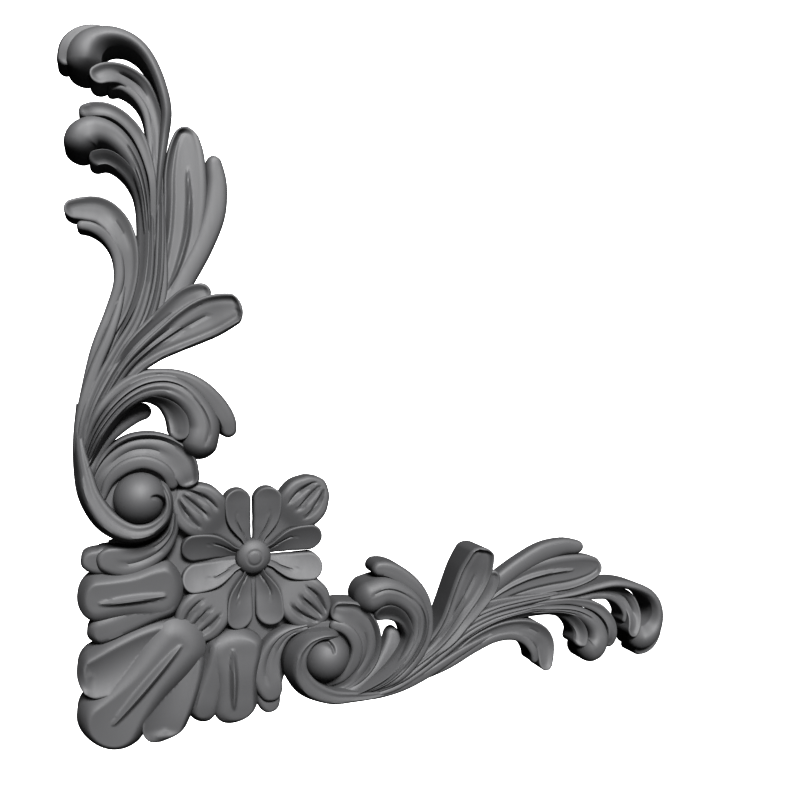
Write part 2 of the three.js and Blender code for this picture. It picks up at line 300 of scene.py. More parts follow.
STEM_LEAVES = (
    Leaf(
        "stem left band",
        ((-69.5, 44, 1.2, 9), (-70.2, 53, 1.8, 11.3), (-68.2, 68, 2.2, 12), (-63.3, 84, 2.2, 11.5),
         (-57.4, 98, 1.9, 11), (-53.5, 110, 1.5, 9.8), (-51, 122, 1.0, 8)),
        roll=(1.4, 1), fall=(1.4, 0.8),
    ),
    Leaf(
        "stem middle band",
        ((-70, 45, 1.2, 10.5), (-67.5, 62, 2.2, 12.5), (-62, 77, 2.4, 12), (-54.5, 91, 2.4, 11.5),
         (-47, 104, 2.2, 11.5), (-42.6, 118, 2, 11.2), (-40.8, 132, 1.7, 10.8), (-40.2, 147, 1.2, 9.5),
         (-40, 158, 0.8, 7.5)),
        roll=(1, 1), fall=(1, 1),
        grooves=(Groove(0.0, 1.0, (0.1, 0.1, 0.1), 0.5, 0.9),),
    ),
    Leaf(
        "stem right band",
        ((-69, 48, 1.0, 10.5), (-64, 66, 2, 13), (-57, 80, 2.4, 12.5), (-49, 93, 2.4, 11.5),
         (-42, 106, 2.2, 10.8), (-38.2, 120, 2, 10.5), (-36.8, 135, 1.9, 10), (-36.2, 150, 1.5, 9.2),
         (-35.8, 164, 0.9, 7.5)),
        roll=(1, 1), fall=(1, 1),
        grooves=(Groove(0.0, 1.0, (0.0, 0.0, 0.0), 0.5, 0.9),),
    ),
)

CURL_LEAVES = (
    Leaf(
        "end curl band",
        ((-37.5, 146, 1.1, 8), (-36, 165.5, 1.3, 11), (-34, 180, 1.8, 12), (-33, 191, 2.1, 14),
         (-35.5, 202, 2.3, 15), (-39.8, 211, 2.6, 15.5), (-45, 215.8, 3.1, 16), (-51, 217.4, 3.7, 16.5),
         (-57, 216.3, 4.6, 17), (-61.8, 212.5, 5.8, 17.8), (-64, 207, 6.4, 18), (-63.3, 200, 6, 16)),
        lean=-1, roll=(6, 6), fall=(5.5, 6), root_roll=(3, 2.8), root_fall=(3.4, 3),
        edges=(Edge.BEVEL, Edge.ROUND),
    ),
    Leaf(
        "end curl lip",
        ((-54, 220.4, 0.9, 13), (-60, 220, 1.7, 13.5), (-65.7, 216.7, 2.6, 14), (-70, 211.2, 3, 14),
         (-71.8, 203.7, 2.6, 12.5)),
        hollow=0.8, roll=(0.8, 1.4), fall=(0.5, 3),
    ),
    Leaf(
        "second curl",
        ((-36.8, 144, 1.2, 7.8), (-36.5, 161, 1.5, 10), (-37, 174, 2.4, 9.8), (-37.2, 185, 3.4, 9.6),
         (-39.8, 194.5, 4, 9.5), (-44, 201, 4.4, 10), (-50.5, 203.5, 4.2, 12), (-56.5, 202, 4, 14.5),
         (-61.5, 198.5, 3.2, 16)),
        hollow=1.2, roll=(1.5, 0.8), fall=(1.2, 0.7), rim=(0.0, 0.5), fineness=1.4,
        grooves=(Groove(0.62, 0.93, (0.2, 0.12, -0.05), 0.55, 1.8),),
    ),
    Leaf(
        "second curl lower lobe",
        ((-39.3, 146, 1, 7.6), (-39.5, 167, 1.1, 9.4), (-39.8, 180, 1.3, 9), (-41, 189.5, 1.6, 9),
         (-44.8, 195.7, 1.7, 9.5), (-50.5, 199, 1.8, 10.5), (-55.5, 198, 1.7, 10.5)),
        roll=(1.2, 1), fall=(1, 0.8),
    ),
    Leaf(
        "third curl top lobe",
        ((-39.6, 136, 1.1, 8), (-39, 157.5, 1.4, 11), (-40.5, 168.5, 1.9, 11.5), (-44, 178.5, 2.6, 12),
         (-49, 184.5, 2.8, 13), (-55, 187.5, 2.9, 14), (-61, 187.5, 2.9, 14), (-66.5, 186, 2.4, 12)),
        hollow=0.6, roll=(1.2, 1.2), fall=(1, 1), rim=(0.0, 0.4),
    ),
    Leaf(
        "third curl ball lobe",
        ((-41.2, 128, 1.2, 8), (-41.6, 142, 1.6, 11), (-42.5, 155, 2, 12.5), (-45, 165.5, 3, 13),
         (-49.5, 173.5, 4.2, 14), (-55, 178.2, 5.3, 15), (-61, 179, 6, 16.5), (-65.6, 175.5, 6.4, 17),
         (-66.8, 168.2, 6, 15)),
        roll=(6, 6), fall=(6.5, 6.5), root_roll=(1.8, 1.8), root_fall=(1.8, 2.4),
        grooves=(Groove(0.0, 0.8, (0.2, 0.15, 0.15), 0.5, 1.4),
                 Groove(0.0, 0.6, (-0.3, -0.35, -0.3), 0.5, 1.2)),
    ),
    Leaf(
        "third curl scoop",
        ((-57, 93, 0.9, 7), (-47.8, 112.5, 1.9, 9), (-44.5, 126.5, 2.1, 9), (-43.5, 143, 2.2, 9),
         (-44.5, 154.5, 2, 9.5), (-47.5, 162, 2.3, 10), (-52, 167, 2.7, 10.5), (-57, 169, 3, 11.5),
         (-63, 167, 2.8, 12.5)),
        lean=5, roll=(0.6, 0.6), fall=(0.5, 0.5), rim=(0.8, 0.0),
    ),
    Leaf(
        "left leaf",
        ((-67.5, 70, 1.0, 9), (-60.5, 93, 2.2, 10), (-53, 108.5, 3.2, 9.5), (-49.7, 122.5, 4, 9.5),
         (-50, 134.5, 4.6, 10), (-53.5, 143, 5.3, 10), (-59, 148, 5.5, 9.7), (-65.5, 148.5, 4.8, 10.5),
         (-73, 147, 3.2, 12.5)),
        hollow=1.0, roll=(1.5, 0.8), fall=(1.2, 0.7), rim=(0.0, 0.4),
        grooves=(Groove(0.66, 0.93, (0.05, 0.05, 0.0), 0.6, 1.8),
                 Groove(0.0, 0.75, (-0.45, -0.45, -0.5), 0.5, 0.7)),
    ),
    Leaf(
        "left leaf lower lobe",
        ((-69.5, 68, 1.0, 8.5), (-63.5, 91, 1.6, 10), (-57, 107.5, 2, 9.5), (-53.3, 119.5, 2.1, 9.5),
         (-53.5, 130, 2.2, 9.5), (-57, 137, 2.2, 10), (-62.5, 141, 2.2, 11), (-68.5, 141.8, 1.9, 11)),
        roll=(1.5, 1.2), fall=(1.2, 1),
    ),
    Leaf(
        "tall leaf",
        ((-64, 70, 1.2, 9.5), (-51, 92, 2.6, 11), (-41.5, 107.5, 4, 9.5), (-33, 122.5, 6, 8),
         (-28, 139, 8, 7), (-26, 153.5, 8.9, 6.8), (-25.5, 166.5, 8.9, 6.7), (-24.8, 178, 7.2, 6.5),
         (-24.3, 187.2, 3.6, 6.3)),
        hollow=1.4, roll=(0.8, 3.4), fall=(0.7, 2.4), rim=(1.0, 0.0), fineness=2.4,
        grooves=(Groove(0.44, 0.86, (0.2, 0.22, 0.08), 1.9, -1.9),
                 Groove(0.2, 0.95, (-0.6, -0.6, -0.55), 1.6, 0.9)),
    ),
    Leaf(
        "tall leaf side lobe",
        ((-58, 73, 1.6, 9), (-45, 92, 3, 9), (-35, 107.5, 4, 7.5), (-27, 122, 4.4, 6.5), (-19.5, 136, 4.6, 6),
         (-14, 150.5, 5, 5.5), (-12.2, 163, 4.5, 5), (-13, 171.5, 3.8, 4.8), (-13.5, 176.5, 2.6, 4.6)),
        hollow=-0.9, roll=(2.4, 1.6), fall=(1.8, 1.6),
    ),
    Leaf(
        "right leaf small lobe",
        ((-61, 75, 1.2, 10.5), (-50, 91.5, 2.8, 13), (-41.5, 100.5, 3.6, 13), (-33.5, 107.5, 4.3, 13.5),
         (-27, 112.7, 4.8, 14), (-21.7, 115.5, 4.3, 14.5), (-17, 116.6, 3, 14.5)),
        hollow=0.6, roll=(1, 1.2), fall=(0.8, 1), rim=(0.7, 0.0),
        grooves=(Groove(0.0, 0.9, (0.1, 0.1, 0.1), 0.8, 0.8),),
    ),
    Leaf(
        "right leaf",
        ((-57.5, 72, 2.6, 13.5), (-49.5, 83.5, 3.8, 14), (-41.5, 91, 5, 14.5), (-33.5, 96.5, 6.6, 14.5),
         (-25.5, 101.5, 8.2, 14.5), (-18, 105.5, 8.8, 14.8), (-11.5, 108, 7.8, 16), (-4.5, 110, 5.6, 17.2)),
        hollow=1.4, roll=(0.8, 1.4), fall=(0.7, 1.6), tip=0.6, rim=(0.6, 1.0), fineness=1.3,
        grooves=(Groove(0.05, 0.8, (0.0, -0.05, -0.1), 0.7, 2.2),
                 Groove(0.0, 0.6, (-0.6, -0.55, -0.5), 0.6, 0.8)),
    ),
)

VOLUTE_LEAVES = (
    Leaf(
        "arch outer lobe",
        ((-69.3, 49, 0.8, 10.5), (-63.5, 65, 1.8, 14), (-55.5, 75, 2.4, 14), (-46, 80.8, 2.4, 14),
         (-36.5, 82, 2.2, 14), (-28, 80, 2.7, 14), (-21, 75.3, 3.4, 14), (-15, 68.3, 3.9, 13.5),
         (-11, 61, 3.8, 13), (-10.2, 54, 3.1, 12)),
        roll=(1.6, 1.4), fall=(3, 2.6),
        grooves=(Groove(0.3, 0.92, (0.25, 0.3, 0.4), 0.45, 0.9),
                 Groove(0.45, 0.92, (-0.3, -0.3, -0.2), 0.4, 0.6)),
    ),
    Leaf(
        "arch ball lobe",
        ((-69, 43, 0.9, 11), (-63, 57.5, 2.2, 15.5), (-55, 68.5, 3.4, 16), (-46, 75, 4.3, 16),
         (-37, 76.6, 4.9, 16), (-29.5, 73.6, 5.4, 16), (-24, 67.3, 6, 16), (-21.2, 59.6, 6.8, 16.5),
         (-22.8, 52.2, 7.4, 16.8), (-24.2, 45.3, 6.8, 15)),
        roll=(6.5, 6.5), fall=(6.5, 6.5), root_roll=(1.6, 1.6), root_fall=(3, 2),
        grooves=(Groove(0.0, 0.93, (-0.35, -0.35, -0.25), 0.6, 1.6),
                 Groove(0.0, 0.78, (0.2, 0.2, 0.2), 0.55, 1.5)),
        fineness=1.3,
    ),
    Leaf(
        "arch scoop",
        ((-67.5, 41, 0.7, 11), (-60.5, 56, 1.1, 14), (-53.5, 65.5, 1.2, 14), (-46, 71.2, 1.2, 13.5),
         (-38.5, 70, 2.2, 12), (-33.7, 66, 3.6, 11.5), (-31.5, 61, 4.2, 12), (-31.5, 54, 3.6, 13.5)),
        lean=-6, roll=(0.6, 0.6), fall=(0.5, 0.5), rim=(0.0, 0.8),
    ),
    Leaf(
        "bud",
        ((-67.2, 36, 1.6, 9.5), (-66, 43, 2.2, 12), (-63.7, 49.5, 2.8, 11), (-60, 56.2, 3.6, 10),
         (-54.5, 62, 4.4, 8.5), (-48.3, 65.6, 4.2, 7), (-41.5, 66.4, 2.9, 5)),
        roll=(2.5, 2.5), fall=(2, 2),
    ),
    Leaf(
        "volute band",
        ((-69.5, 70, 1.2, 9), (-70.2, 56, 2, 12.6), (-68.8, 42.5, 3.6, 15), (-66.3, 31.7, 4.4, 16.5),
         (-60.3, 22, 4.9, 17.5), (-52, 16.6, 4.6, 18), (-44, 16.8, 3.9, 18.5), (-38.2, 21.2, 2.8, 18.8),
         (-36.2, 26.5, 1.7, 19), (-36.3, 31, 1.6, 18.5), (-37.6, 34.6, 1.5, 16), (-39.5, 36.8, 1, 12.5)),
        lean=1.6, roll=(1.0, 3.6), fall=(0.8, 10), edges=(Edge.ROUND, Edge.BEVEL), fineness=1.5,
    ),
    Leaf(
        "fan leaf outer lobe",
        ((-64.5, 32.5, 1.4, 9), (-62.6, 40.5, 3, 11), (-57, 47.5, 4.6, 11.5), (-50, 51.5, 5.4, 12),
         (-42.3, 51.7, 6, 12), (-36, 49, 6.6, 12), (-31, 44.5, 6.6, 12), (-28.3, 39, 5.2, 12),
         (-26.8, 33.7, 3.8, 11)),
        hollow=0.8, roll=(1, 1), fall=(0.8, 0.8), tip=0.7, rim=(0.9, 0.0),
        grooves=(Groove(0.15, 0.88, (0.1, 0.15, 0.1), 0.6, 1.4),
                 Groove(0.1, 0.7, (-0.55, -0.55, -0.6), 0.6, 0.9)),
    ),
    Leaf(
        "fan leaf inner lobe",
        ((-61.5, 31.5, 1.2, 10.5), (-58.8, 38.6, 2.2, 11.5), (-53, 43.7, 2.8, 12.5), (-46, 45.5, 2.8, 13),
         (-40, 43.5, 2.7, 13), (-35.8, 39.5, 2.5, 12.5), (-33.6, 33.3, 2.3, 11)),
        roll=(1.5, 1.5), fall=(1.2, 1.2),
    ),
    Leaf(
        "under leaf",
        ((-33.5, 22.8, 1.6, 10), (-34.7, 14.8, 2.6, 10), (-39, 8.8, 4.2, 10), (-45.5, 5.2, 5.4, 10),
         (-52.5, 4, 6.2, 10.5), (-59, 5.4, 5.6, 11), (-64.5, 7.6, 3.6, 11)),
        roll=(2, 1.2), fall=(3, 1),
        grooves=(Groove(0.0, 0.8, (-0.1, -0.1, -0.1), 0.5, 1.0),
                 Groove(0.1, 0.7, (0.5, 0.45, 0.4), 0.5, 0.8)),
    ),
    Leaf(
        "under leaf back lobe",
        ((-50, 6, 4, 7), (-58, 5.3, 6, 8), (-65, 5.5, 5.6, 9), (-70, 8.6, 3.2, 9)),
        roll=(2, 2), fall=(4, 4),
    ),
)

CORNER_LEAVES = (
    Leaf(
        "side leaf",
        ((-30.5, -9.3, 10.5, 10.5), (-36, -9.3, 11.8, 12), (-42, -9, 11.4, 12.5), (-50, -9, 9.6, 13),
         (-58, -9.2, 9.5, 13), (-65, -9.4, 9.8, 13), (-72.5, -9.6, 9.2, 12.5)),
        hollow=0.4, roll=(5, 3.6), fall=(5, 9), tip=0.85, root_round=True,
        root_roll=(6, 4), root_fall=(3, 4), edges=(Edge.ROUND, Edge.BEVEL), fineness=1.6,
        grooves=(Groove(0.17, 0.8, (-0.15, -0.2, -0.18), 2.2, -2.4),),
    ),
    Leaf(
        "side leaf lower lobe",
        ((-31.6, -14, 6, 10), (-38, -16, 6.2, 11.6), (-46, -18.8, 5.8, 11.8), (-54, -21.4, 6.1, 11.8),
         (-61.5, -23.6, 6.3, 11.8), (-69, -25, 5.4, 11)),
        roll=(3.4, 3), fall=(6, 2.5), edges=(Edge.BEVEL, Edge.ROUND), root_round=True,
    ),
    Leaf(
        "corner leaf side lobe",
        ((-31, -27.5, 5, 11.5), (-38, -29.5, 7.8, 13), (-46, -32.4, 9.6, 14), (-55, -36, 10.4, 15),
         (-63, -38.8, 10, 15.5), (-73, -41, 8.2, 15.5)),
        hollow=3.0, roll=(1.2, 3.4), fall=(1, 9), tip=0.75,
        root_roll=(1.2, 4), root_fall=(1, 5), edges=(Edge.ROUND, Edge.BEVEL), fineness=1.2,
    ),
)

CORNER_LEAF = Leaf(
    "corner leaf",
    ((-26, -26, 12, 12.6), (-32, -32, 12, 13.8), (-38, -38, 11.8, 14.6), (-46, -46, 11.6, 15.6),
     (-54, -54, 13, 16.6), (-61, -61, 15, 17.4), (-68.7, -68.7, 16, 17.4)),
    hollow=0.9, roll=(4, 4), fall=(10, 10), tip=0.85, root_round=True, edges=(Edge.BEVEL, Edge.BEVEL),
    root_roll=(8, 8), root_fall=(3.8, 3.8), fineness=1.5,
    grooves=(Groove(0.15, 0.8, (0, 0, 0), 2.6, -2.8),),
)

EDGES = EdgeShape()
HOOK = HookCut()

SATIN_GREY = Finish(
    "satin_grey_paint_on_carved_wood", "#454546", "#404041", cloud_size=38, roughness=0.66, rough_below=0.04,
    rough_above=0.06, gloss=0.5, grain_pitch=2.2, grain_stretch=0.12, grain_bump=0.03, grain_strength=0.25,
)

# Point that the lights face, and the lights, in metres
LIT_POINT = (0.05, 0.0, 0.06)
LAMPS = (Lamp("key", (0.05, -2.05, 1.7), 320.0), Lamp("front_fill", (0.0, -1.6, 0.15), 3.0))
# Distance of the backdrop behind the applique, and half its side, in metres
BACKDROP_PLACE = 0.9
BACKDROP_HALF = 3.0
# Light of the surroundings, and the tone curve of the photograph
WORLD_COLOUR = (0.9, 0.9, 0.9, 1.0)
WORLD_STRENGTH = 0.02
PHOTO_GAMMA = 0.7

ARM_BALLS = (
    Ball(-47.3, 30.8, 10.4, 12, 22, hook=((-43.4, 32), (-41, 31.8), (-39, 30), (-38, 27), (-38, 24))),
    Ball(-48, 31, 15.5, 8.8, 9.2),
)


def to_linear(hex_colour: str) -> tuple[float, float, float, float]:
    """Turn an sRGB hex colour into linear values.

    Args:
        hex_colour: such as "#808080".

    Returns:
        Red, green, blue and alpha, linear.
    """
    parts = [int(hex_colour[i:i + 2], 16) / 255 for i in (1, 3, 5)]
    linear = [p / 12.92 if p <= 0.04045 else ((p + 0.055) / 1.055) ** 2.4 for p in parts]
    return (linear[0], linear[1], linear[2], 1.0)


def spline(points: np.ndarray, at: np.ndarray) -> np.ndarray:
    """Follow a smooth curve through points, in even steps from point to point.

    Args:
        points: one row a point.
        at: places on the curve, from 0 at the first point to 1 at the last.

    Returns:
        One row a place.
    """
    count = len(points) - 1
    padded = np.vstack([2 * points[0] - points[1], points, 2 * points[-1] - points[-2]])
    place = np.clip(at, 0, 1) * count
    first = np.minimum(place.astype(int), count - 1)
    t = (place - first)[:, None]
    p0, p1, p2, p3 = (padded[first + k] for k in range(4))
    m1, m2 = (p2 - p0) / 2, (p3 - p1) / 2
    return ((2 * t**3 - 3 * t**2 + 1) * p1 + (t**3 - 2 * t**2 + t) * m1
            + (3 * t**2 - 2 * t**3) * p2 + (t**3 - t**2) * m2)


@dataclass
class Shell:
    """A closed triangle mesh in mm: plan x, plan z and height.

    Attributes:
        points: x, height and z of each vertex.
        triangles: three vertex numbers a row.
    """

    points: np.ndarray
    triangles: np.ndarray

    def mirrored(self) -> "Shell":
        """Mirror it in the diagonal, to set it on the other arm."""
        return Shell(self.points[:, [2, 1, 0]], self.triangles[:, ::-1])

    def beside(self, other: "Shell") -> "Shell":
        """Take in another shell that it doesn't touch."""
        return Shell(np.vstack([self.points, other.points]),
                     np.vstack([self.triangles, other.triangles + len(self.points)]))

    def mesh(self, name: str) -> bpy.types.Mesh:
        """Make it a Blender mesh in metres, facing out.

        Args:
            name: name of the mesh.

        Returns:
            The mesh.
        """
        x, height, z = self.points.T
        verts = np.column_stack([x, -height, z]) * MM
        mesh = bpy.data.meshes.new(name)
        mesh.from_pydata(verts.tolist(), [], self.triangles.tolist())
        mesh.validate()
        return mesh


class LeafCarver:
    """Makes the closed solid of one leaf."""

    def __init__(self, detail: Detail) -> None:
        """Keep the mesh detail.

        Args:
            detail: mesh steps in mm.
        """
        self.detail = detail

    def carve(self, leaf: Leaf) -> Shell:
        """Shape a leaf.

        Args:
            leaf: what to carve.

        Returns:
            Its closed solid.
        """
        stations = np.array(leaf.stations, float)
        fine = np.linspace(0, 1, self.detail.spine_points)
        path = spline(stations[:, :2], fine)
        run = np.concatenate([[0], np.cumsum(np.hypot(*np.diff(path, axis=0).T))])
        length = run[-1]
        stops, into, cap = self._stops(leaf, stations, length)
        full = np.sqrt(1 - into**2)
        u = np.interp(stops, run, fine)
        middle = spline(stations[:, :2], u)
        look = self.detail.look_ahead
        ahead = spline(stations[:, :2], u + look) - spline(stations[:, :2], u - look)
        ahead /= np.linalg.norm(ahead, axis=1)[:, None]
        width, height = spline(stations[:, 2:], u).T
        half = width * full
        widest = 2 * stations[:, 2].max() * leaf.fineness
        columns = max(self.detail.least_steps, int(widest / self.detail.step_across))
        side = np.sin(np.linspace(-1, 1, columns + 1) * math.pi / 2)
        along = (into * cap)[:, None]
        off = side[None, :] * half[:, None]
        radius = np.hypot(into[:, None], full[:, None] * side[None, :])
        outward = np.hypot(along, width[:, None] * full[:, None] * side[None, :] + 1e-9)
        edge = (1 - radius) * outward / (radius + 1e-9)
        edge = np.where(radius < 1e-3, width[:, None], edge)
        edge = np.where(into[:, None] == 0, half[:, None] - np.abs(off), edge)
        rise = self._rise(leaf, stops / length, side, edge, half, width, height)
        x = middle[:, :1] + ahead[:, 1:] * half[:, None] * side
        z = middle[:, 1:] - ahead[:, :1] * half[:, None] * side
        return self._close(x, z, rise, half)

    def _stops(self, leaf: Leaf, stations: np.ndarray,
               length: float) -> tuple[np.ndarray, np.ndarray, np.ndarray]:
        """Distances along a leaf, how far into a round end each lies, and the length of that end."""
        cap = min(stations[-1, 2] * leaf.tip, length / 3)
        root = min(stations[0, 2] * leaf.tip, length / 3) if leaf.root_round else 0.0
        least = self.detail.least_steps
        end = self.detail.end_steps
        turns = np.linspace(0, math.pi / 2, max(least, int(cap * end / self.detail.step_across)))[1:]
        body = np.linspace(root, length - cap, max(least, int(length / self.detail.step_along)))
        stops = [body, length - cap + cap * np.sin(turns)]
        into = [np.zeros_like(body), np.sin(turns)]
        caps = [np.full_like(body, cap), np.full_like(turns, cap)]
        if root > 0:
            first = np.linspace(0, math.pi / 2, max(least, int(root * end / self.detail.step_across)))[:-1]
            stops.insert(0, root * (1 - np.cos(first)))
            into.insert(0, np.cos(first))
            caps.insert(0, np.full_like(first, root))
        into[-1][-1] = 1.0
        if root > 0:
            into[0][0] = 1.0
        return np.concatenate(stops), np.concatenate(into), np.concatenate(caps)

    def _rise(self, leaf: Leaf, share: np.ndarray, side: np.ndarray, edge: np.ndarray,
              half: np.ndarray, width: np.ndarray, height: np.ndarray) -> np.ndarray:
        """Height of the carved front over the flat back."""
        across = side[None, :]
        wide = width[:, None]
        inner = across * half[:, None] / wide
        depth_share = np.clip((edge / wide) * (2 - edge / wide), 0, 1)
        rise = height[:, None] + inner * leaf.lean / 2 - leaf.hollow * depth_share
        late = share[:, None] ** 2
        slant = EDGES.root_slant - EDGES.slant_ease * late if leaf.root_roll else EDGES.slant
        for hand, sign in enumerate((-1, 1)):
            roll, fall, bead = leaf.roll[hand], leaf.fall[hand], leaf.rim[hand]
            if leaf.root_roll:
                roll = leaf.root_roll[hand] * (1 - late) + roll * late
            if leaf.root_fall:
                fall = leaf.root_fall[hand] * (1 - late) + fall * late
            reach = np.minimum(roll, wide)
            turn = 1 - np.clip(edge / reach, 0, 1)
            share_side = np.clip(0.5 + 0.75 * sign * inner, 0, 1)
            bevel = leaf.edges[hand] is Edge.BEVEL
            drop = turn**slant if bevel else 1 - np.sqrt(1 - turn**2)
            rise = rise - share_side * fall * reach / roll * drop
            room = np.clip(wide / 3, 0, 1) * share_side * np.clip(share[:, None] * 3, 0, 1)
            start = roll if bevel else np.minimum(0.5 * roll, EDGES.bead_start)
            bump = np.exp(-(((edge - start - EDGES.bead_place) / EDGES.bead_width) ** 2))
            gutter = np.exp(-(((edge - start - EDGES.gutter_place) / EDGES.gutter_width) ** 2))
            rise = rise + bead * room * bump
            rise = rise - bead * EDGES.gutter_share * room * gutter
        for groove in leaf.grooves:
            rise = rise - self._groove(groove, share, across, half)
        return np.maximum(rise, LEAST_EDGE)

    @staticmethod
    def _groove(groove: Groove, share: np.ndarray, across: np.ndarray, half: np.ndarray) -> np.ndarray:
        """Depth of one groove, pointed at both ends."""
        t = np.clip((share - groove.start) / (groove.end - groove.start), 0, 1)
        a, b, c = groove.sides
        line = a * (1 - t) * (1 - 2 * t) + 4 * b * t * (1 - t) + c * t * (2 * t - 1)
        taper = np.sin(np.pi * np.clip(t, 0, 1)) ** 0.5
        if groove.start <= 0:
            taper = np.where(t < 0.5, 1.0, taper)
        if groove.end >= 1:
            taper = np.where(t > 0.5, 1.0, taper)
        inside = (share >= groove.start) & (share <= groove.end)
        reach = np.minimum(groove.half_width, half * 0.3)[:, None] * (0.25 + 0.75 * taper[:, None])
        off = np.abs(across - line[:, None]) * half[:, None]
        cut = np.clip(1 - off / (reach + 1e-6), 0, 1)
        return groove.depth * (taper * inside)[:, None] * cut * cut * (3 - 2 * cut)

    @staticmethod
    def _close(x: np.ndarray, z: np.ndarray, rise: np.ndarray, half: np.ndarray) -> Shell:
        """Join the carved front to a flat back with upright walls."""
        rows, columns = x.shape
        front = np.arange(rows * columns).reshape(rows, columns)
        for row in (0, rows - 1):
            if half[row] < POINTED:
                front[row] = front[row, 0]
        points = [np.stack([x, rise, z], -1).reshape(-1, 3)]
        back = rows * columns + np.arange(rows * 2).reshape(rows, 2)
        for row in (0, rows - 1):
            if half[row] < POINTED:
                back[row] = back[row, 0]
        points.append(np.stack([x[:, [0, -1]], np.zeros((rows, 2)), z[:, [0, -1]]], -1).reshape(-1, 3))
        faces = []

        def quads(a: np.ndarray, b: np.ndarray, c: np.ndarray, d: np.ndarray) -> None:
            a, b, c, d = (v.reshape(-1) for v in (a, b, c, d))
            faces.append(np.column_stack([a, b, c]))
            faces.append(np.column_stack([a, c, d]))

        quads(front[:-1, :-1], front[:-1, 1:], front[1:, 1:], front[1:, :-1])
        quads(back[:-1, 0], back[1:, 0], back[1:, 1], back[:-1, 1])
        quads(front[:-1, 0], front[1:, 0], back[1:, 0], back[:-1, 0])
        quads(back[:-1, 1], back[1:, 1], front[1:, -1], front[:-1, -1])
        for row, flip in ((0, False), (rows - 1, True)):
            if half[row] >= POINTED:
                fan = []
                for k in range(columns - 1):
                    corner = back[row, 0]
                    tri = (corner, front[row, k + 1], front[row, k])
                    fan.append(tri[::-1] if flip else tri)
                tri = (back[row, 0], back[row, 1], front[row, -1])
                fan.append(tri[::-1] if flip else tri)
                faces.append(np.array(fan))
        triangles = np.vstack(faces)
        a, b, c = triangles.T
        triangles = triangles[(a != b) & (b != c) & (c != a)]
        every = np.vstack(points)
        used = np.unique(triangles)
        number = np.full(len(every), -1)
        number[used] = np.arange(len(used))
        shell = Shell(every[used], number[triangles])
        return shell if LeafCarver._outward(shell) else Shell(shell.points, shell.triangles[:, ::-1])

    @staticmethod
    def _outward(shell: Shell) -> bool:
        """Whether the shell's faces look out, with height along -Y."""
        points = shell.points * np.array([1, -1, 1])
        a, b, c = (points[shell.triangles[:, k]] for k in range(3))
        return float(np.einsum("ij,ij->i", a, np.cross(b, c)).sum()) > 0


class TurnedCarver:
    """Makes the round solids: the boss, the eye of the volute and the bed round the eye."""

    @staticmethod
    def dome(ball: Ball, detail: Detail) -> Shell:
        """A rounded dome on a straight foot.

        Args:
            ball: its place and sizes.
            detail: how finely it is meshed.

        Returns:
            Its closed solid.
        """
        around = detail.around
        angle = np.linspace(0, math.pi / 2, detail.upward)
        reach = ball.radius * np.cos(angle)
        height = ball.foot + (ball.top - ball.foot) * np.sin(angle)
        ring = np.exp(-(((reach - ball.radius * ball.ring_place) / ball.ring_width) ** 2))
        height = height - ball.dimple * ring
        turn = np.linspace(0, 2 * math.pi, around, endpoint=False)
        rows = [(ball.radius, 0.0), *zip(reach[:-1], height[:-1])]
        points = [(ball.x + r * math.cos(t), h, ball.z + r * math.sin(t)) for r, h in rows for t in turn]
        points += [(ball.x, 0.0, ball.z), (ball.x, float(height[-1]), ball.z)]
        faces = []
        count = len(rows)
        for k in range(around):
            nxt = (k + 1) % around
            for row in range(count - 1):
                a, b = row * around + k, row * around + nxt
                c, d = b + around, a + around
                faces += [(a, b, c), (a, c, d)]
            faces.append((count * around, nxt, k))
            last = (count - 1) * around
            faces.append((last + k, last + nxt, count * around + 1))
        shell = Shell(TurnedCarver._hooked(np.array(points), ball), np.array(faces))
        return shell if LeafCarver._outward(shell) else Shell(shell.points, shell.triangles[:, ::-1])

    @staticmethod
    def _hooked(points: np.ndarray, ball: Ball) -> np.ndarray:
        """Sink the points of a dome along its hook."""
        if not ball.hook:
            return points
        path = np.array(ball.hook, float)
        line = spline(path, np.linspace(0, 1, HOOK.points))
        off = np.hypot(points[:, None, 0] - line[None, :, 0], points[:, None, 2] - line[None, :, 1])
        near = off.argmin(axis=1)
        last = HOOK.points - 1
        depth = HOOK.depth * np.sqrt(near / last)
        sunk = points.copy()
        reach = HOOK.half_width + HOOK.widening * near / last
        cut = depth * np.exp(-((off.min(axis=1) / reach) ** 2))
        lowered = np.maximum(points[:, 1] - cut, HOOK.least_height)
        sunk[:, 1] = np.where(points[:, 1] > 0, lowered, points[:, 1])
        return sunk


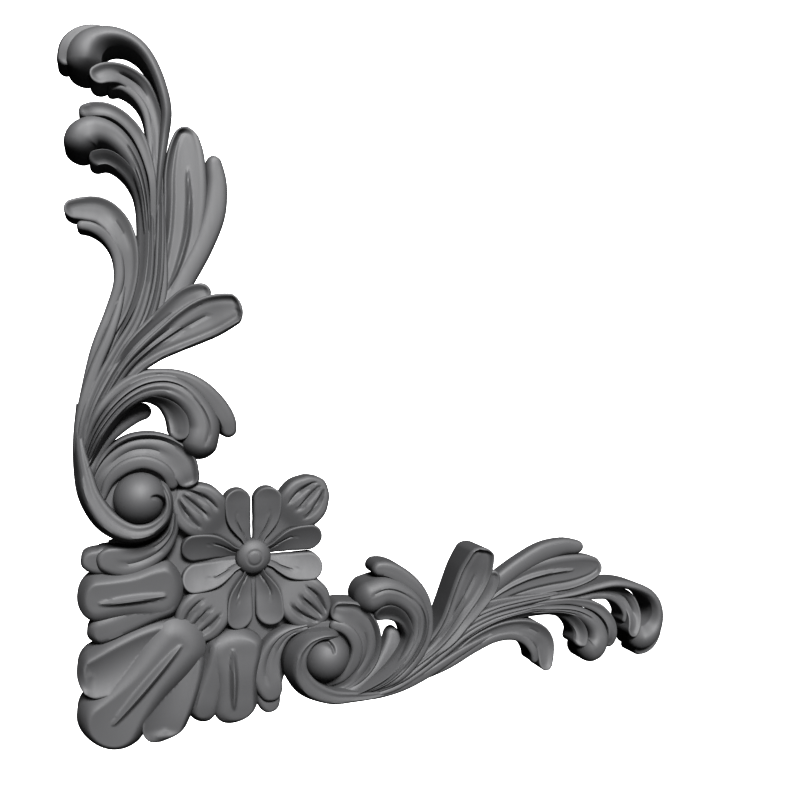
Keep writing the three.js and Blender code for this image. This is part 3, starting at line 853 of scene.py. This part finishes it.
class FlowerCarver:
    """Makes the petals, sepals and boss of the flower."""

    def __init__(self, sizes: Flower, carver: LeafCarver) -> None:
        """Keep its sizes.

        Args:
            sizes: sizes of the flower.
            carver: what shapes a leaf.
        """
        self.sizes = sizes
        self.carver = carver

    def petal_pair(self) -> bpy.types.Mesh:
        """One pair of petals, split by a slit."""
        s = self.sizes
        shape = ((0.05, 0.12, 0.25, 0.62), (0.095, 0.29, 0.43, 0.64), (0.135, 0.4, 0.66, 0.7),
                 (0.195, 0.58, 0.93, 0.8), (0.212, 0.8, 1, 0.92), (0.2, 1, 0.96, 1))
        pair = []
        for side in (-1, 1):
            stations = tuple((side * out * s.petal_reach, up * s.petal_reach, width * s.petal_half_width,
                              height * s.petal_tip_height) for out, up, width, height in shape)
            line = Groove(0.1, 0.62, (-0.1 * side, 0.3 * side, 0.12 * side), 0.5, 0.9)
            pair.append(self.carver.carve(Leaf("petal", stations, lean=4.2 * side, hollow=0.6, roll=(1, 1),
                                               fall=(0.9, 0.9), tip=0.95, fineness=1.8, grooves=(line,))))
        return pair[0].beside(pair[1]).mesh("petal_pair")

    def sepal(self) -> bpy.types.Mesh:
        """One sepal."""
        s = self.sizes
        root = s.boss_radius / 2
        shape = ((0, 0.2, 0.5), (0.24, 0.28, 0.54), (0.37, 0.4, 0.62), (0.45, 0.65, 0.76), (0.53, 0.92, 0.9),
                 (0.63, 1.02, 1), (0.76, 0.99, 1), (0.88, 0.74, 0.97), (1, 0.42, 0.9))
        stations = tuple((0.0, root + share * (s.sepal_reach - root), width * s.sepal_half_width,
                          height * s.sepal_height) for share, width, height in shape)
        lines = tuple(Groove(0.55, 0.92, (side * 1.05, side, side * 0.85), 1.7, 2.2)
                      for side in (-0.46, 0, 0.46))
        return self.carver.carve(Leaf("sepal", stations, roll=(2.2, 2.2), fall=(2.2, 2.2), fineness=1.4,
                                      grooves=lines)).mesh("sepal")

    def boss(self) -> Shell:
        """The round boss in the middle."""
        s = self.sizes
        boss = Ball(0, 0, s.boss_radius, s.boss_foot, s.boss_height, s.boss_ring_depth)
        return TurnedCarver.dome(boss, self.carver.detail)


class EqualTurns:
    """Geometry Nodes tree that repeats a shape in equal turns round the middle of the flower."""

    def __init__(self, material: bpy.types.Material) -> None:
        """Build the tree.

        Args:
            material: finish of the copies.
        """
        self.tree = bpy.data.node_groups.new("equal_turns", "GeometryNodeTree")
        interface = self.tree.interface
        interface.new_socket("Shape", in_out="INPUT", socket_type="NodeSocketGeometry")
        self.copies = interface.new_socket("Copies", in_out="INPUT", socket_type="NodeSocketInt").identifier
        angle_socket = interface.new_socket("Start Angle", in_out="INPUT", socket_type="NodeSocketFloat")
        self.start = angle_socket.identifier
        interface.new_socket("Shape", in_out="OUTPUT", socket_type="NodeSocketGeometry")
        nodes = Nodes(self.tree)
        given = nodes.add("NodeGroupInput").outputs
        index = nodes.add("GeometryNodeInputIndex").outputs["Index"]
        step = nodes.add("ShaderNodeMath", {1: given["Copies"]}, operation="DIVIDE")
        step.inputs[0].default_value = 2 * math.pi
        turn = nodes.add("ShaderNodeMath", {0: index, 1: step.outputs[0]}, operation="MULTIPLY")
        angle = nodes.add("ShaderNodeMath", {0: turn.outputs[0], 1: given["Start Angle"]}, operation="ADD")
        euler = nodes.add("ShaderNodeCombineXYZ", {"Y": angle.outputs[0]})
        rotation = nodes.add("FunctionNodeEulerToRotation", {0: euler.outputs[0]})
        points = nodes.add("GeometryNodePoints", {"Count": given["Copies"]})
        copies = nodes.add("GeometryNodeInstanceOnPoints", {
            "Points": points.outputs[0], "Instance": given["Shape"], "Rotation": rotation.outputs[0]})
        real = nodes.add("GeometryNodeRealizeInstances", {"Geometry": copies.outputs[0]})
        dressed = nodes.add("GeometryNodeSetMaterial", {"Geometry": real.outputs[0]})
        dressed.inputs["Material"].default_value = material
        nodes.add("NodeGroupOutput", {"Shape": dressed.outputs[0]})

    def repeat(self, mesh: bpy.types.Mesh, copies: int, start: float) -> bpy.types.Mesh:
        """Repeat a mesh round the Y axis.

        Args:
            mesh: what to repeat.
            copies: how many there are in all.
            start: angle of the first, in radians.

        Returns:
            All the copies as one mesh.
        """
        source = bpy.data.objects.new("repeated", mesh)
        bpy.context.scene.collection.objects.link(source)
        turns = source.modifiers.new("turns", "NODES")
        turns.node_group = self.tree
        turns[self.copies] = copies
        turns[self.start] = start
        bpy.context.view_layer.update()
        result = bpy.data.meshes.new_from_object(source.evaluated_get(bpy.context.evaluated_depsgraph_get()))
        source.modifiers.remove(turns)
        bpy.data.objects.remove(source)
        return result


def ground_shell(thickness: float) -> Shell:
    """The flat ground that ties the flower, corner leaves and volutes together.

    Args:
        thickness: its thickness in mm.

    Returns:
        Its closed solid.
    """
    half = [(-60, -60), (-60, 12), (-42, 18), (-37, 37), (-25, 36), (-20, 16), (-10, 10)]
    outline = half + [(z, x) for x, z in reversed(half[1:])]
    count = len(outline)
    points = [(x, h, z) for h in (0.0, thickness) for x, z in outline]
    faces = []
    for k in range(1, count - 1):
        faces += [(0, k, k + 1), (count, count + k + 1, count + k)]
    for k in range(count):
        nxt = (k + 1) % count
        faces += [(nxt, k, count + k), (nxt, count + k, count + nxt)]
    shell = Shell(np.array(points, float), np.array(faces))
    return shell if LeafCarver._outward(shell) else Shell(shell.points, shell.triangles[:, ::-1])


class Joiner:
    """Joins closed solids into one."""

    @staticmethod
    def join(meshes: list[bpy.types.Mesh], name: str) -> bpy.types.Object:
        """Join meshes two by two until one is left.

        Args:
            meshes: closed meshes.
            name: name of the joined object.

        Returns:
            The object with the joined mesh.
        """
        while len(meshes) > 1:
            joined = [Joiner._pair(a, b) for a, b in zip(meshes[::2], meshes[1::2])]
            if len(meshes) % 2:
                joined.append(meshes[-1])
            meshes = joined
        piece = bpy.data.objects.new(name, meshes[0])
        bpy.context.scene.collection.objects.link(piece)
        return piece

    @staticmethod
    def _pair(first: bpy.types.Mesh, second: bpy.types.Mesh) -> bpy.types.Mesh:
        """Join two closed meshes."""
        a = bpy.data.objects.new("join_a", first)
        b = bpy.data.objects.new("join_b", second)
        for obj in (a, b):
            bpy.context.scene.collection.objects.link(obj)
        union = a.modifiers.new("union", "BOOLEAN")
        union.operation = "UNION"
        union.solver = "MANIFOLD"
        union.object = b
        bpy.context.view_layer.update()
        result = bpy.data.meshes.new_from_object(a.evaluated_get(bpy.context.evaluated_depsgraph_get()))
        for obj in (a, b):
            bpy.data.objects.remove(obj)
        return result


class Nodes:
    """Adds nodes to the tree of a material or of a modifier."""

    def __init__(self, tree: bpy.types.NodeTree) -> None:
        """Start from an empty node tree.

        Args:
            tree: the tree.
        """
        self.tree = tree
        self.tree.nodes.clear()

    def add(self, kind: str, links: dict[str | int, bpy.types.NodeSocket] | None = None,
            **values: object) -> bpy.types.Node:
        """Add one node.

        Args:
            kind: its type.
            links: sockets that feed its inputs, by input name or number.
            values: constant values of its inputs or settings, by name.

        Returns:
            The node.
        """
        node = self.tree.nodes.new(kind)
        for key, value in values.items():
            label = key.replace("_", " ").title()
            if hasattr(node, key):
                setattr(node, key, value)
            elif label in node.inputs:
                node.inputs[label].default_value = value
            else:
                raise KeyError(f"{kind} has no {key}")
        for key, socket in (links or {}).items():
            self.tree.links.new(socket, node.inputs[key])
        return node


def satin_wood(finish: Finish) -> bpy.types.Material:
    """Satin grey paint over carved wood.

    The paint is even and mostly matt, so the carving reads by its soft shading. It settles a
    little darker in places, and the wood's grain shows through it as a very faint relief.

    Args:
        finish: colours and sizes of the finish.

    Returns:
        The material.
    """
    material = bpy.data.materials.new(finish.name)
    material.use_nodes = True
    nodes = Nodes(material.node_tree)
    place = nodes.add("ShaderNodeTexCoord").outputs["Object"]
    stretch = nodes.add("ShaderNodeMapping", {"Vector": place}, Scale=(1.0, 1.0, finish.grain_stretch))
    grain = nodes.add("ShaderNodeTexNoise", {"Vector": stretch.outputs["Vector"]},
                      Scale=1 / (finish.grain_pitch * MM), Detail=5.0, Roughness=0.6)
    cloud = nodes.add("ShaderNodeTexNoise", {"Vector": place},
                      Scale=1 / (finish.cloud_size * MM), Detail=3.0, Roughness=0.5)
    colour = nodes.add("ShaderNodeMix", {"Factor": cloud.outputs["Fac"]}, data_type="RGBA")
    colour.inputs[6].default_value = to_linear(finish.colour)
    colour.inputs[7].default_value = to_linear(finish.darker_colour)
    rough = nodes.add("ShaderNodeMapRange", {"Value": grain.outputs["Fac"]})
    rough.inputs["To Min"].default_value = finish.roughness - finish.rough_below
    rough.inputs["To Max"].default_value = finish.roughness + finish.rough_above
    bump = nodes.add("ShaderNodeBump", {"Height": grain.outputs["Fac"]},
                     Strength=finish.grain_strength, Distance=finish.grain_bump * MM)
    shader = nodes.add("ShaderNodeBsdfPrincipled", {
        "Base Color": colour.outputs[2], "Roughness": rough.outputs["Result"], "Normal": bump.outputs["Normal"]})
    shader.inputs["Specular IOR Level"].default_value = finish.gloss
    nodes.add("ShaderNodeOutputMaterial", {"Surface": shader.outputs["BSDF"]})
    return material


def pale_backdrop() -> bpy.types.Material:
    """Matt white backdrop, so the object stands on white as in the photograph.

    Returns:
        The material.
    """
    material = bpy.data.materials.new("matt_white_backdrop")
    material.use_nodes = True
    nodes = Nodes(material.node_tree)
    shader = nodes.add("ShaderNodeBsdfPrincipled", Roughness=0.9)
    shader.inputs["Base Color"].default_value = to_linear("#F4F4F4")
    shader.inputs["Emission Color"].default_value = to_linear("#FFFFFF")
    shader.inputs["Emission Strength"].default_value = 1.05
    nodes.add("ShaderNodeOutputMaterial", {"Surface": shader.outputs["BSDF"]})
    return material


class Applique:
    """The carved corner applique."""

    def __init__(self, detail: Detail, flower: Flower) -> None:
        """Keep its sizes.

        Args:
            detail: how finely it is meshed.
            flower: sizes of its flower.
        """
        self.carver = LeafCarver(detail)
        self.detail = detail
        self.flower = flower

    def meshes(self, material: bpy.types.Material) -> list[bpy.types.Mesh]:
        """Every carved solid of the applique.

        Args:
            material: its finish.

        Returns:
            One closed mesh a solid, the flower's petals and sepals as one mesh each.
        """
        arm = [self.carver.carve(leaf) for leaf in
               (STEM_BED, *STEM_LEAVES, *CURL_LEAVES, *VOLUTE_LEAVES, *CORNER_LEAVES)]
        arm += [TurnedCarver.dome(ball, self.detail) for ball in ARM_BALLS]
        flower = FlowerCarver(self.flower, self.carver)
        shells = arm + [self.carver.carve(CORNER_LEAF), ground_shell(GROUND_THICKNESS), flower.boss()]
        shells += [shell.mirrored() for shell in arm]
        turns = EqualTurns(material)
        round_flower = [turns.repeat(flower.petal_pair(), 4, 0.0),
                        turns.repeat(flower.sepal(), 4, math.pi / 4)]
        return [shell.mesh(f"solid_{k}") for k, shell in enumerate(shells)] + round_flower

    def build(self) -> bpy.types.Object:
        """Make the applique as one closed piece."""
        finish = satin_wood(SATIN_GREY)
        meshes = self.meshes(finish)
        LOG.info("joining %d solids, %d triangles", len(meshes), sum(len(m.polygons) for m in meshes))
        piece = Joiner.join(meshes, "carved_applique")
        mesh = piece.data
        mesh.shade_smooth()
        mesh.set_sharp_from_angle(angle=math.radians(self.detail.sharp_angle))
        mesh.materials.clear()
        mesh.materials.append(finish)
        LOG.info("joined piece has %d triangles", sum(len(p.vertices) - 2 for p in mesh.polygons))
        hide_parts(CAD_NODE)
        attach(piece, "root")
        return piece


class Studio:
    """Backdrop, lights and camera."""

    def __init__(self, view: PhotoView) -> None:
        """Keep the view.

        Args:
            view: the camera of the photograph.
        """
        self.view = view

    def backdrop(self) -> None:
        """A wide white wall behind the applique."""
        mesh = bpy.data.meshes.new("backdrop")
        far, wide = BACKDROP_PLACE, BACKDROP_HALF
        mesh.from_pydata([(-wide, far, -wide), (wide, far, -wide), (wide, far, wide), (-wide, far, wide)],
                         [], [(0, 1, 2, 3)])
        wall = bpy.data.objects.new("backdrop", mesh)
        bpy.context.scene.collection.objects.link(wall)
        mesh.materials.append(pale_backdrop())
        wall.visible_diffuse = False
        wall.visible_glossy = False

    def light(self, lamp: Lamp) -> None:
        """Add one square soft light, facing the applique.

        Args:
            lamp: its name, place, side and power.
        """
        data = bpy.data.lights.new(lamp.name, "AREA")
        data.shape = "SQUARE"
        data.size = lamp.side
        data.energy = lamp.power
        light = bpy.data.objects.new(lamp.name, data)
        bpy.context.scene.collection.objects.link(light)
        light.location = lamp.place
        facing = Vector(LIT_POINT) - Vector(lamp.place)
        light.rotation_euler = facing.to_track_quat("-Z", "Y").to_euler()

    def camera(self) -> None:
        """Set the camera of the photograph."""
        data = bpy.data.cameras.new("photo_camera")
        data.sensor_width = self.view.sensor_mm
        data.sensor_fit = "HORIZONTAL"
        data.lens = self.view.sensor_mm * self.view.focal_px / self.view.width_px
        data.clip_start, data.clip_end = 0.01, 20.0
        camera = bpy.data.objects.new("photo_camera", data)
        bpy.context.scene.collection.objects.link(camera)
        right = Vector(self.view.right).normalized()
        up = Vector(self.view.up)
        up = (up - up.dot(right) * right).normalized()
        back = right.cross(up)
        turn = Matrix((right, up, back)).transposed().to_4x4()
        camera.matrix_world = Matrix.Translation(Vector(self.view.place) * MM) @ turn
        bpy.context.scene.camera = camera

    def build(self) -> None:
        """Set up the whole studio."""
        self.backdrop()
        for lamp in LAMPS:
            self.light(lamp)
        world = bpy.data.worlds.new("studio")
        world.use_nodes = True
        background = world.node_tree.nodes["Background"]
        background.inputs["Color"].default_value = WORLD_COLOUR
        background.inputs["Strength"].default_value = WORLD_STRENGTH
        bpy.context.scene.world = world
        bpy.context.scene.view_settings.view_transform = "Standard"
        bpy.context.scene.view_settings.gamma = PHOTO_GAMMA
        self.camera()


def main() -> None:
    """Build the applique and its studio."""
    logging.basicConfig(level=logging.INFO, format="%(name)s: %(message)s")
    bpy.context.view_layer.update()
    Applique(Detail(), Flower()).build()
    Studio(PhotoView()).build()


if __name__ == "__main__":
    main()
